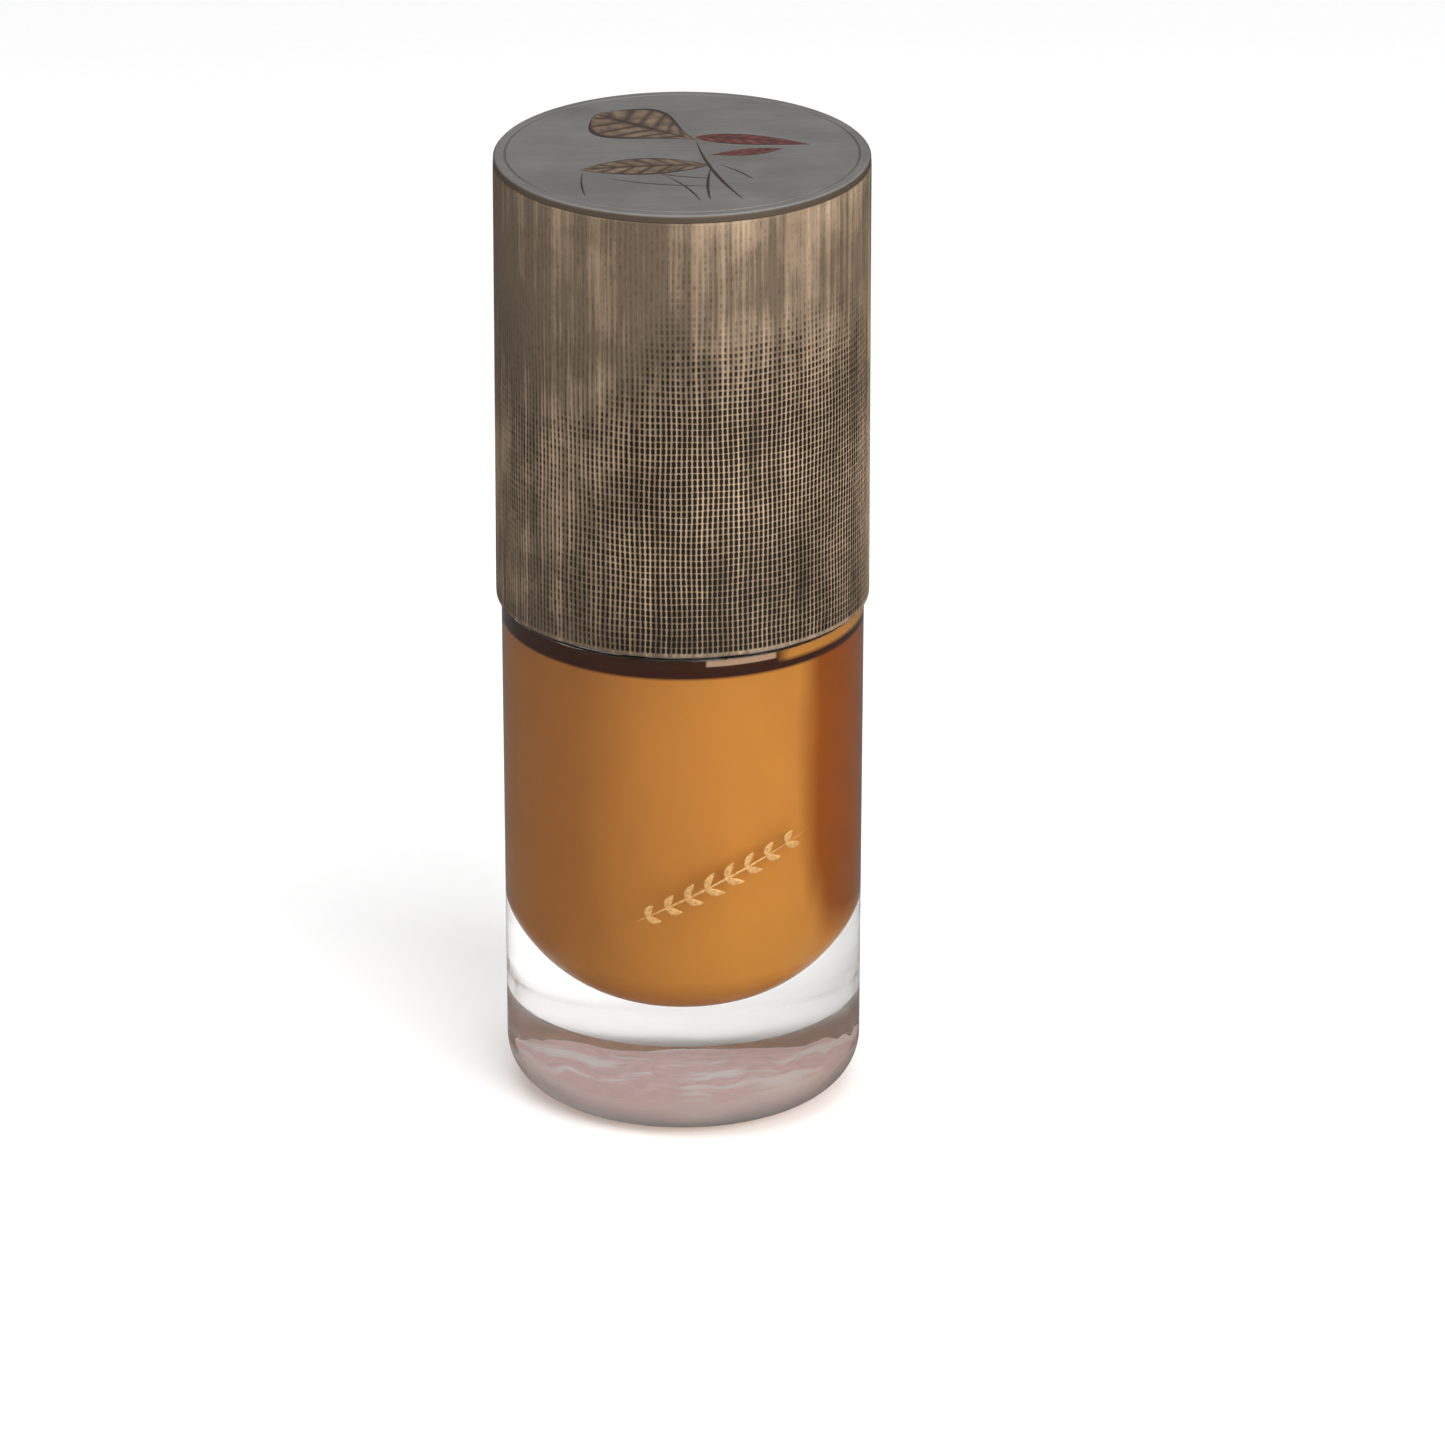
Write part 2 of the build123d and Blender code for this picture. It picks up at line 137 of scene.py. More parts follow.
def rounded(corners, steps=6):
    """Outline through corners (r, z, radius): each corner but the first and last becomes an arc.

    The arc touches both sides at radius / tan(half the corner's angle) from the corner. Between the
    two touching points it runs by spherical interpolation about its centre. A guard point stands just
    outside each end of the arc, so that the flat stretches keep flat normals.
    """
    corners = np.asarray(corners, float)
    points, radii = corners[:, :2], np.maximum(corners[1:-1, 2:3], 1e-5)
    corner = points[1:-1]
    before, after = points[:-2] - corner, points[2:] - corner
    before /= np.linalg.norm(before, axis=1, keepdims=True)
    after /= np.linalg.norm(after, axis=1, keepdims=True)
    half = np.arccos(np.clip((before * after).sum(1, keepdims=True), -1, 1)) / 2
    reach = radii / np.tan(half)
    middle = before + after
    centre = corner + middle / np.linalg.norm(middle, axis=1, keepdims=True) * radii / np.sin(half)
    start, end = corner + before * reach - centre, corner + after * reach - centre
    sweep = (math.pi - 2 * half)[:, None, :]
    t = np.linspace(0, 1, steps + 1)[None, :, None]
    arcs = (np.sin((1 - t) * sweep) * start[:, None] + np.sin(t * sweep) * end[:, None]) / np.sin(sweep)
    guard = np.minimum(0.25 * radii, 0.1 * MM)
    rows = np.concatenate(
        [
            (corner + before * (reach + guard))[:, None],
            arcs + centre[:, None],
            (corner + after * (reach + guard))[:, None],
        ],
        axis=1,
    )
    return np.vstack([points[:1], rows.reshape(-1, 2), points[-1:]])


def bowl_outline(radius, floor, depth, flat, steps=40):
    """Half-egg bottom from its rim down to the axis, with a small flat floor in the middle.

    The points are (flat + (radius - flat) cos t, floor + depth - depth sin t), then the axis.
    """
    t = np.linspace(0, math.pi / 2, steps)
    egg = np.stack([flat + (radius - flat) * np.cos(t), floor + depth * (1 - np.sin(t))], -1)
    return np.vstack([egg, [0, floor]])


def grid_faces(rows, columns, close_rows=False):
    """Quads of a tube of points, rows going up and columns anticlockwise, facing outwards."""
    i = np.arange(rows if close_rows else rows - 1)[:, None]
    j = np.arange(columns)[None, :]
    up, right = (i + 1) % rows, (j + 1) % columns
    quads = np.stack([i * columns + j, i * columns + right, up * columns + right, up * columns + j], -1)
    return quads.reshape(-1, 4)


def crossed_faces(rows, columns):
    """Triangles of a closed grid, with each square split through its corner of odd row and column.

    The holes of a weave sit at those corners, so that all four squares round a hole slope evenly.
    """
    low_left, low_right, high_right, high_left = grid_faces(rows, columns, close_rows=True).T
    i = np.repeat(np.arange(rows), columns)
    j = np.tile(np.arange(columns), rows)
    rising = (i + j) % 2 == 0
    first = np.where(rising, [low_left, low_right, high_right], [low_left, low_right, high_left])
    second = np.where(rising, [low_left, high_right, high_left], [low_right, high_right, high_left])
    return np.hstack([first, second]).T


def lathe(outline, segments):
    """Surface (r cos a, r sin a, z) of an outline (r, z) that starts and ends on the axis.

    The two ends become single points, each closed by a fan of triangles.
    """
    a = np.linspace(0, 2 * math.pi, segments, endpoint=False)
    ring = outline[1:-1]
    around = np.stack([np.cos(a), np.sin(a), np.ones_like(a)], -1)
    body = ring[:, None, [0, 0, 1]] * around[None]
    points = np.vstack([body.reshape(-1, 3), [[0, 0, outline[0, 1]], [0, 0, outline[-1, 1]]]])
    quads = grid_faces(len(ring), segments)
    j = np.arange(segments)
    after = (j + 1) % segments
    first, last, top = len(points) - 2, len(points) - 1, (len(ring) - 1) * segments
    low_fan = np.stack([np.full(segments, first), after, j], -1)
    high_fan = np.stack([top + j, top + after, np.full(segments, last)], -1)
    return points, [*quads.tolist(), *low_fan.tolist(), *high_fan.tolist()]


def turned_shell(outline, segments):
    """Surface (r cos a, r sin a, z) of an outline (r, z) that closes on itself off the axis."""
    a = np.linspace(0, 2 * math.pi, segments, endpoint=False)
    around = np.stack([np.cos(a), np.sin(a), np.ones_like(a)], -1)
    points = outline[:, None, [0, 0, 1]] * around[None]
    return points.reshape(-1, 3), grid_faces(len(outline), segments, close_rows=True).tolist()


def closed_outline(corners, steps=6):
    """Rounded outline of a closed ring of corners (r, z, radius)."""
    return rounded([corners[-1], *corners, corners[0]], steps)[1:-1]


def blade(base, tip, width, thickness, bend=0.0, along=40, across=20, veins=0, fullness=0.8):
    """A leaf as a lens-shaped tube in its own flat sheet: points (x, y, height) and their marks.

    At s from 0 to 1 along the middle line the half width is width / 2 * sin(pi s^fullness)^0.9. The
    section is an ellipse of that half width, and its half height is thickness times the root of the
    half width's share of width / 2. The middle line bows sideways by bend * 4 s (1 - s). The height
    sinks along the midrib and along any side veins. The mark nears 1 on them and at the rim. Without
    veins only the rim is marked.
    """
    base, tip = np.array(base, float), np.array(tip, float)
    line = tip - base
    length = np.linalg.norm(line)
    line /= length
    side = np.array([-line[1], line[0]])
    s = np.linspace(0, 1, along)[:, None]
    v = np.linspace(0, 2 * math.pi, across, endpoint=False)[None, :]
    half_width = width / 2 * np.sin(math.pi * s**fullness).clip(0) ** 0.9
    t = np.cos(v)
    rise = np.sin(v) * np.sqrt(np.clip(half_width / (width / 2), 0, 1))
    rib = np.exp(-((t / 0.13) ** 2)) + np.zeros_like(s)
    if veins:
        slant = s * veins - np.abs(t) * 1.1
        rib = np.maximum(rib, np.exp(-(((slant - np.round(slant)) / 0.17) ** 2)) * 0.9)
    rim = np.clip((np.abs(t) - 0.80) / 0.12, 0, 1)
    mark = np.maximum(rib * (veins > 0), rim) * (np.sin(v) > -0.05)
    height = thickness * rise * (1 - 0.45 * rib * (np.sin(v) > 0))
    out = half_width * t + bend * 4 * s * (1 - s)
    flat = base + (s * length)[..., None] * line + out[..., None] * side
    points = np.concatenate([flat, height[..., None]], -1).reshape(-1, 3)
    faces = grid_faces(along, across)[:, ::-1]
    return points, faces, (mark + np.zeros_like(height)).ravel()


def join_parts(parts):
    """Several (points, faces, marks) as one."""
    offsets = np.cumsum([0] + [len(points) for points, _, _ in parts[:-1]])
    points = np.vstack([points for points, _, _ in parts])
    faces = np.vstack([faces + offset for (_, faces, _), offset in zip(parts, offsets)])
    return points, faces.tolist(), np.concatenate([marks for _, _, marks in parts])


def build_piece(name, points, faces, body, nodes, material, marks=None, mark_name="mark"):
    """A smooth mesh object at the origin that rides on its body and stands for its CAD nodes."""
    mesh = bpy.data.meshes.new(name)
    mesh.from_pydata(np.asarray(points).tolist(), [], faces)
    mesh.update()
    mesh.validate()
    mesh.polygons.foreach_set("use_smooth", np.ones(len(mesh.polygons), bool))
    if marks is not None:
        layer = mesh.attributes.new(mark_name, "FLOAT", "POINT")
        layer.data.foreach_set("value", np.asarray(marks, np.float32))
    mesh.materials.append(material)
    piece = bpy.data.objects.new(name, mesh)
    bpy.context.scene.collection.objects.link(piece)
    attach(piece, body)
    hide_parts(*nodes)
    return piece


# ---------------------------------------------------------------- finishes


class Finish:
    """A material with its shader, and short calls for the nodes that feed it."""

    def __init__(self, name, **sockets):
        self.material = bpy.data.materials.new(name)
        self.material.use_nodes = True
        self.nodes = self.material.node_tree.nodes
        self.links = self.material.node_tree.links
        self.shader = self.nodes["Principled BSDF"]
        coordinates = self.nodes.new("ShaderNodeTexCoord")
        scale = self.nodes.new("ShaderNodeMapping")
        scale.inputs["Scale"].default_value = (1000, 1000, 1000)
        self.links.new(coordinates.outputs["Object"], scale.inputs["Vector"])
        self.place = scale.outputs["Vector"]
        for socket, value in sockets.items():
            self.shader.inputs[socket.replace("_", " ")].default_value = value

    def stretched(self, scales):
        """The object's millimetres, stretched by a factor along each axis."""
        node = self.nodes.new("ShaderNodeMapping")
        node.inputs["Scale"].default_value = scales
        self.links.new(self.place, node.inputs["Vector"])
        return node.outputs["Vector"]

    def noise(self, scale, detail=3.0, place=None, roughness=0.55):
        node = self.nodes.new("ShaderNodeTexNoise")
        node.inputs["Scale"].default_value = scale
        node.inputs["Detail"].default_value = detail
        node.inputs["Roughness"].default_value = roughness
        self.links.new(place or self.place, node.inputs["Vector"])
        return node.outputs["Fac"]

    def attribute(self, name):
        node = self.nodes.new("ShaderNodeAttribute")
        node.attribute_name = name
        return node.outputs["Fac"]

    def fit(self, value, low, high, to_low=0.0, to_high=1.0):
        node = self.nodes.new("ShaderNodeMapRange")
        node.inputs["From Min"].default_value = low
        node.inputs["From Max"].default_value = high
        node.inputs["To Min"].default_value = to_low
        node.inputs["To Max"].default_value = to_high
        self.links.new(value, node.inputs["Value"])
        return node.outputs["Result"]

    def maths(self, operation, a, b):
        node = self.nodes.new("ShaderNodeMath")
        node.operation = operation
        for socket, value in zip(node.inputs, (a, b)):
            if isinstance(value, (int, float)):
                socket.default_value = value
            else:
                self.links.new(value, socket)
        return node.outputs["Value"]

    def total(self, first, *others):
        for other in others:
            first = self.maths("ADD", first, other)
        return first

    def mix(self, factor, a, b):
        node = self.nodes.new("ShaderNodeMix")
        node.data_type = "RGBA"
        factor_in, _, _, _, _, _, a_in, b_in = list(node.inputs)[:8]
        for socket, value in ((factor_in, factor), (a_in, a), (b_in, b)):
            if isinstance(value, (int, float)):
                socket.default_value = value
            elif isinstance(value, tuple):
                socket.default_value = (*value, 1.0)
            else:
                self.links.new(value, socket)
        return node.outputs["Result"]

    def axes(self):
        """The object's x, y and z in millimetres."""
        split = self.nodes.new("ShaderNodeSeparateXYZ")
        self.links.new(self.place, split.inputs["Vector"])
        return split.outputs["X"], split.outputs["Y"], split.outputs["Z"]

    def set(self, socket, value):
        self.links.new(value, self.shader.inputs[socket])

    def bump(self, value, distance, strength=1.0):
        node = self.nodes.new("ShaderNodeBump")
        node.inputs["Strength"].default_value = strength
        node.inputs["Distance"].default_value = distance
        self.links.new(value, node.inputs["Height"])
        self.links.new(node.outputs["Normal"], self.shader.inputs["Normal"])


def lighter(tone, factor):
    return tuple(min(1.0, channel * factor) for channel in tone)


def clear_glass():
    """Clear moulded glass with faint waves in the wall, strong flow waves in the base and a softly
    frosted heel."""
    finish = Finish("clear_glass", Base_Color=(0.955, 0.96, 0.955, 1), Transmission_Weight=1.0, IOR=1.5)
    _, _, z = finish.axes()
    waves = finish.noise(0.09, 1.0)
    flow = finish.maths("MULTIPLY", finish.noise(0.1, 1.5), finish.fit(z, 13.0, 6.0))
    finish.set("Roughness", finish.fit(z, 8.0, 4.0, 0.0, 0.42))
    finish.bump(finish.total(waves, finish.maths("MULTIPLY", flow, 70.0)), 0.05 * MM, 0.35)
    return finish.material


def amber_liquid(colours):
    """Turbid amber liquid: soft clouds, painted shade on the left side, deep amber painted shade on the
    right side and a darker bottom.

    Over the level, where the liquid climbs the glass, it is dark with painted shadow under the cap's rim.
    Higher up the painted shade is deep amber, with a short pale painted highlight, and stays amber on the
    right.
    """
    finish = Finish("amber_liquid", Roughness=0.25, IOR=1.36, Specular_IOR_Level=0.1)
    x, _, z = finish.axes()
    floor, level = foot_of("liquid") / MM, top_of("liquid") / MM
    amber, deep = tuple(colours.liquid), tuple(colours.liquid_right_shade)
    cloud = finish.noise(0.12, 2.0, finish.stretched((1, 1, 0.35)))
    shade = finish.total(finish.fit(x, 6.0, -14.0), finish.fit(cloud, 0.3, 0.7, -0.1, 0.1))
    body = finish.mix(shade, amber, tuple(colours.liquid_shade))
    # painted shade: the right side turns deep amber past a cloudy border
    border = finish.total(x, finish.fit(cloud, 0.3, 0.7, -0.4, 0.4))
    body = finish.mix(finish.fit(border, 13.6, 16.0), body, deep)
    body = finish.mix(finish.fit(z, floor + 5.5, floor, 0.0, 0.7), body, lighter(deep, 0.7))
    # painted shade higher over the level: dark amber, staying amber on the right
    shadowed = finish.mix(finish.fit(x, 10.9, 12.5), lighter(deep, 0.14), amber)
    # painted highlight: a short pale strip high in the shaded band
    streak = finish.maths("MULTIPLY", finish.fit(x, 2.6, 2.9), finish.fit(x, 11.0, 10.7))
    streak = finish.maths("MULTIPLY", streak, finish.fit(z, level + 1.65, level + 1.8))
    shadowed = finish.mix(streak, shadowed, tuple(colours.streak))
    # painted shadow just over the level, under the cap's rim
    shadow = finish.mix(finish.fit(z, level + 0.9, level + 1.5), tuple(colours.liquid_shadow), shadowed)
    finish.set("Base Color", finish.mix(finish.fit(z, level - 0.1, level + 0.3), body, shadow))
    return finish.material


def woven_bronze(colours):
    """Brushed bronze cords over dark patina, with upright brush lines and lighter and darker patches.

    The bronze is darker at the rim and at the top. It is darker on the left as painted shade, and lighter
    on the right as painted light from the key light's side.
    """
    finish = Finish("woven_bronze", Metallic=0.3, Specular_IOR_Level=0.2)
    x, _, z = finish.axes()
    pit = finish.fit(finish.attribute("pit"), 0.2, 0.8)
    lines = finish.noise(0.9, 4.0, finish.stretched((1, 1, 0.02)), 0.7)
    patches = finish.noise(0.08, 3.0)
    rim = foot_of("cap_sleeve") / MM
    tone = finish.total(
        finish.fit(lines, 0.3, 0.7, -0.4, 0.4),
        finish.fit(patches, 0.3, 0.7, -0.3, 0.3),
        finish.fit(z, rim, rim + 14.0, -0.35, 0.0),
        # painted shade on the left and painted light on the right
        finish.fit(x, -20.0, -4.0, -0.3, 0.0),
        finish.fit(x, 12.0, 20.0, 0.0, 0.25),
        finish.fit(z, rim + 26.0, rim + 44.0, 0.0, -0.45),
        0.5,
    )
    cords = finish.mix(tone, lighter(colours.sleeve, 0.38), lighter(colours.sleeve, 1.55))
    finish.set("Base Color", finish.mix(pit, cords, tuple(colours.sleeve_pit)))
    finish.set("Roughness", finish.fit(patches, 0.3, 0.7, 0.46, 0.6))
    finish.bump(lines, 0.05 * MM, 0.6)
    return finish.material


def satin_grey(colours):
    """Satin grey metal disc with very fine brush lines, faint cloudy wear and a dark bronze edge."""
    finish = Finish("satin_grey", Metallic=0.25, Specular_IOR_Level=0.3)
    _, _, z = finish.axes()
    high = top_of("cap_top_plate") / MM
    face = finish.fit(z, high - 0.25, high - 0.1)
    lines = finish.noise(3.0, 4.0, finish.stretched((0.06, 1, 1)))
    clouds = finish.noise(0.12, 4.0)
    tone = finish.total(finish.fit(lines, 0.3, 0.7, 0.3, 0.7), finish.fit(clouds, 0.3, 0.7, -0.25, 0.25))
    grey = finish.mix(tone, lighter(colours.plate, 0.8), lighter(colours.plate, 1.2))
    finish.set("Base Color", finish.mix(face, lighter(colours.sleeve, 0.2), grey))
    finish.set("Roughness", finish.fit(clouds, 0.3, 0.7, 0.5, 0.64))
    finish.bump(lines, 0.01 * MM, 0.5)
    return finish.material


def leaf_enamel(name, tone, outline):
    """Enamel leaf with dark veins and rim and a mottled body."""
    finish = Finish(name, Roughness=0.5, Coat_Weight=0.15, Coat_Roughness=0.3)
    mottle = finish.noise(0.7, 4.0)
    body = finish.mix(finish.fit(mottle, 0.3, 0.7), lighter(tone, 0.6), lighter(tone, 1.7))
    finish.set("Base Color", finish.mix(finish.attribute("mark"), body, outline))
    finish.bump(mottle, 0.03 * MM, 0.5)
    return finish.material


def gold_print(colours):
    """Gold foil print with small dull and bright specks."""
    finish = Finish("gold_print", Metallic=0.25)
    specks = finish.noise(2.5, 4.0)
    dull, bright = lighter(colours.gold, 0.65), lighter(colours.gold, 1.15)
    finish.set("Base Color", finish.mix(finish.fit(specks, 0.35, 0.65), dull, bright))
    finish.set("Roughness", finish.fit(specks, 0.35, 0.65, 0.55, 0.35))
    return finish.material


def label_paper(colours):
    """Dusty rose paper with fibres, the rose being painted reflection of pink surroundings seen in the
    base, and drifting pale clouds of painted highlight.
    """
    finish = Finish("label_paper", Roughness=0.8)
    fibre = finish.noise(1.2, 5.0)
    painted_gleam = finish.noise(0.16, 3.0, finish.stretched((1, 2.2, 1)))
    dark, light = lighter(colours.label, 0.86), lighter(colours.label, 1.08)
    rose = finish.mix(finish.fit(fibre, 0.3, 0.7), dark, light)
    # painted highlight: pale clouds mixed over the rose
    finish.set("Base Color", finish.mix(finish.fit(painted_gleam, 0.52, 0.62), rose, tuple(colours.painted_gleam)))
    finish.bump(fibre, 0.02 * MM, 0.4)
    return finish.material


def turned_metal(name, tone, metallic=0.9, low=0.25, high=0.4):
    """Turned metal: brush lines that run round the axis, as a lathe leaves them."""
    finish = Finish(name, Metallic=metallic)
    lines = finish.noise(3.0, 3.0, finish.stretched((0.04, 0.04, 2.5)))
    clouds = finish.noise(0.25, 3.0)
    metal = finish.mix(finish.fit(lines, 0.3, 0.7), lighter(tone, 0.85), lighter(tone, 1.1))
    finish.set("Base Color", metal)
    finish.set("Roughness", finish.fit(clouds, 0.3, 0.7, low, high))
    finish.bump(lines, 0.01 * MM, 0.4)
    return finish.material


def moulded_plastic(name, tone, low=0.35, high=0.55, grain=1.6):
    """Moulded plastic: fine grain, faint flow clouds."""
    finish = Finish(name)
    fine = finish.noise(grain, 3.0)
    flow = finish.noise(0.15, 2.0)
    plastic = finish.mix(finish.fit(flow, 0.3, 0.7), lighter(tone, 0.9), lighter(tone, 1.08))
    finish.set("Base Color", plastic)
    finish.set("Roughness", finish.fit(fine, 0.3, 0.7, low, high))
    finish.bump(fine, 0.01 * MM, 0.4)
    return finish.material


# ---------------------------------------------------------------- operators


class PieceOperator:
    """What every piece of the bottle needs: the sizes and colours of the scene."""

    bl_options = {"REGISTER", "UNDO"}

    @property
    def sizes(self):
        return bpy.context.scene.bottle_sizes

    @property
    def colours(self):
        return bpy.context.scene.bottle_colours


class BOTTLE_OT_glass(PieceOperator, bpy.types.Operator):
    """Turn the glass bottle with its round cavity, crimp neck and hollow base"""

    bl_idname = "bottle.glass"
    bl_label = "Glass bottle"

    def execute(self, context):
        sizes = self.sizes
        outer = radius_of("glass_bottle")
        cavity = radius_of("liquid") + 0.05 * MM
        neck_top = top_of("glass_bottle")
        shoulder = shoulder_height()
        punt = radius_of("base_label") + 0.5 * MM
        roof = top_of("base_label")
        floor = foot_of("liquid") - 0.05 * MM
        bore = radius_of("pump_housing") - 2.55 * MM
        bead = radius_of("ferrule") - 0.5 * MM
        neck = bead - 1.2 * MM
        bead_foot = foot_of("ferrule") + 0.45 * MM
        outline = rounded(
            [
                (0, roof, 0),
                (punt, roof, 0.4 * MM),
                (punt, 0, 0.3 * MM),
                (sizes.base_radius, 0, sizes.heel),
                (outer, shoulder, 2.0 * MM),
                (neck, shoulder, 1.0 * MM),
                (neck, bead_foot, 0.2 * MM),
                (bead, bead_foot + 0.6 * MM, 0.2 * MM),
                (bead, neck_top, 0.5 * MM),
                (bore, neck_top, 0.3 * MM),
                (bore, shoulder - 3.0 * MM, 0.6 * MM),
                (cavity, shoulder - 3.0 * MM, 0.3 * MM),
                (cavity, floor + sizes.bowl + 1 * MM, 0),
            ],
            steps=14,
        )
        outline = np.vstack([outline, bowl_outline(cavity, floor, sizes.bowl, sizes.bowl_flat)])
        points, faces = lathe(outline, sizes.segments)
        build_piece(
            "clear_glass_bottle", points, faces, "bottle", ["glass_bottle"], clear_glass()
        )
        return {"FINISHED"}


class BOTTLE_OT_liquid(PieceOperator, bpy.types.Operator):
    """Fill the cavity with liquid that climbs a little where it meets the glass"""

    bl_idname = "bottle.liquid"
    bl_label = "Liquid"

    def execute(self, context):
        sizes = self.sizes
        radius = radius_of("liquid") + 0.08 * MM
        floor, level = foot_of("liquid") - 0.08 * MM, top_of("liquid")
        lip = level + sizes.meniscus
        surface = rounded(
            [
                (radius, floor + sizes.bowl + 1 * MM, 0),
                (radius, lip, 0.05 * MM),
                (radius - 0.12 * MM, lip, 0.05 * MM),
                (radius - 0.7 * MM, level, 1.5 * MM),
                (0, level, 0),
            ],
            steps=14,
        )
        bowl = bowl_outline(radius, floor, sizes.bowl, sizes.bowl_flat)
        outline = np.vstack([bowl[::-1], surface])
        points, faces = lathe(outline, sizes.segments)
        build_piece(
            "amber_liquid", points, faces, "bottle", ["liquid"], amber_liquid(self.colours)
        )
        return {"FINISHED"}


class BOTTLE_OT_base_label(PieceOperator, bpy.types.Operator):
    """Lay the round paper label in the hollow of the base"""

    bl_idname = "bottle.base_label"
    bl_label = "Base label"

    def execute(self, context):
        radius, low, high = radius_of("base_label"), foot_of("base_label"), top_of("base_label")
        outline = rounded(
            [
                (0, low, 0),
                (radius, low, 0.03 * MM),
                (radius, high + 0.02 * MM, 0.03 * MM),
                (0, high + 0.02 * MM, 0),
            ],
            steps=3,
        )
        points, faces = lathe(outline, 96)
        build_piece(
            "round_base_label", points, faces, "bottle", ["base_label"],
            label_paper(self.colours),
        )
        return {"FINISHED"}


class BOTTLE_OT_gold_sprig(PieceOperator, bpy.types.Operator):
    """Print the gold sprig on the front of the glass"""

    bl_idname = "bottle.gold_sprig"
    bl_label = "Gold sprig"

    def execute(self, context):
        low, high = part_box("gold_sprig")
        shoulder = shoulder_height()
        foot_radius, widening = self.sizes.base_radius, radius_of("glass_bottle") - self.sizes.base_radius
        start = np.array([low.x + 0.5 * MM, low.z + 1.0 * MM])
        end = np.array([high.x - 0.6 * MM, high.z - 1.1 * MM])
        line = (end - start) / np.linalg.norm(end - start)
        side = np.array([-line[1], line[0]])
        pairs, leaf, spread = 8, 2.6 * MM, math.radians(38)
        parts = [blade(start, end, 0.34 * MM, 0.07 * MM, bend=0.35 * MM, along=60, across=10)]
        for k in range(pairs):
            s = (k + 0.6) / (pairs + 0.6)
            foot = start + (end - start) * s + side * 0.35 * MM * 4 * s * (1 - s)
            for way in (-1, 1):
                direction = line * math.cos(spread) + side * way * math.sin(spread)
                reach = leaf * (1.0 - 0.35 * abs(2 * s - 0.9))
                tip, bend = foot + direction * reach, way * 0.18 * MM
                parts.append(blade(foot, tip, 0.95 * MM, 0.07 * MM, bend, along=16, across=12))
        points, faces, _ = join_parts(parts)
        glass = foot_radius + widening * points[:, 1] / shoulder
        reach = glass + np.maximum(points[:, 2], -0.015 * MM)
        depth = -np.sqrt(reach**2 - points[:, 0] ** 2)
        points = np.stack([points[:, 0], depth, points[:, 1]], -1)
        build_piece(
            "gold_sprig_print", points, faces, "bottle", ["gold_sprig"],
            gold_print(self.colours),
        )
        return {"FINISHED"}


class BOTTLE_OT_woven_sleeve(PieceOperator, bpy.types.Operator):
    """Raise the woven relief of the cap's sleeve: upright cords, cross threads and the holes between

    With u the bearing in cords and v the height in threads, a cord's height is cos^2 pi u and a
    thread's is cos^2 pi v. The radius is the sleeve's radius less the depth times the sum of the
    hole, (1 - cord)(1 - thread), and the shallower groove between two cords, 1 - cord. The holes are
    deep at the lower right and fade where the sleeve is rubbed, on the left, and worn, at the top.
    The cords sway sideways, and the threads up and down, by slow sines.
    """

    bl_idname = "bottle.woven_sleeve"
    bl_label = "Woven sleeve"

    def weave(self, a, v, threads):
        """How deep the holes and the grooves are at bearing a and thread v, and the grain on them."""
        cord = np.cos(a * self.sizes.cords / 2) ** 2
        thread = np.cos(math.pi * v) ** 2
        grain = np.random.default_rng(7).uniform(-1, 1, (len(v), a.shape[1]))
        ripple = 0.06 * np.sin(3.0 * a + 0.11 * v) + 0.05 * np.sin(7.0 * a - 0.23 * v)
        rubbed = np.clip((np.cos(a - math.radians(210)) - 0.55) / 0.4, 0, 1)
        worn = np.clip((v / threads - 0.5) / 0.3, 0, 1)
        depth = np.clip(1.0 - 0.85 * rubbed - 0.97 * worn + ripple, 0.02, 1.0)
        hole = (1 - cord) * (1 - thread) * depth * (1 + 0.25 * grain)
        groove = (1 - cord) * (0.58 - 0.33 * worn + 0.1 * ripple + 0.05 * grain)
        return hole, groove, grain

    def execute(self, context):
        outer, low, high = radius_of("cap_sleeve"), foot_of("cap_sleeve"), top_of("cap_sleeve")
        inner, band, edge = outer - 0.4 * MM, outer - 0.02 * MM, 0.5 * MM
        woven = high - low - 2 * edge
        threads = int(woven / self.sizes.thread_pitch)
        columns, rows = self.sizes.cords * 2, threads * 2 + 1
        a = np.linspace(0, 2 * math.pi, columns, endpoint=False)[None, :]
        v = np.linspace(0, threads, rows)[:, None]
        hole, groove, grain = self.weave(a, v, threads)
        r = outer - self.sizes.weave_depth * np.clip(hole + groove, 0, 1)
        fade = np.clip(np.minimum(v, threads - v) / 3, 0, 1)
        sway = fade * (0.0032 * np.sin(7.0 * a + 0.19 * v) + 0.0016 * np.sin(13.0 * a - 0.43 * v))
        lift = fade * 0.05 * MM * np.sin(17.0 * a + 0.29 * v)
        z = low + edge + woven * v / threads + lift
        relief = np.stack([r * np.cos(a + sway), r * np.sin(a + sway), z], -1)

        def hoops(corners):
            radii, heights = np.array(corners).T[..., None]
            return np.stack([radii * np.cos(a), radii * np.sin(a), heights + 0 * a], -1)

        rim = [
            (inner, high),
            (inner, low + 0.1 * MM),
            (inner + 0.1 * MM, low),
            (outer - 0.12 * MM, low),
            (band, low + 0.1 * MM),
            (band, low + edge - 0.08 * MM),
        ]
        brim = [(band, high - edge + 0.08 * MM), (band, high)]
        points = np.concatenate([hoops(rim), relief, hoops(brim)])
        faces = crossed_faces(len(points), columns).tolist()
        pits = 0.06 + 0.05 * grain + 1.3 * hole + groove
        marks = np.concatenate(
            [np.full((len(rim), columns), 0.25), pits, np.full((len(brim), columns), 0.28)]
        )
        build_piece(
            "woven_cap_sleeve", points.reshape(-1, 3), faces, "cap", ["cap_sleeve"],
            woven_bronze(self.colours), marks.ravel(), "pit",
        )
        return {"FINISHED"}


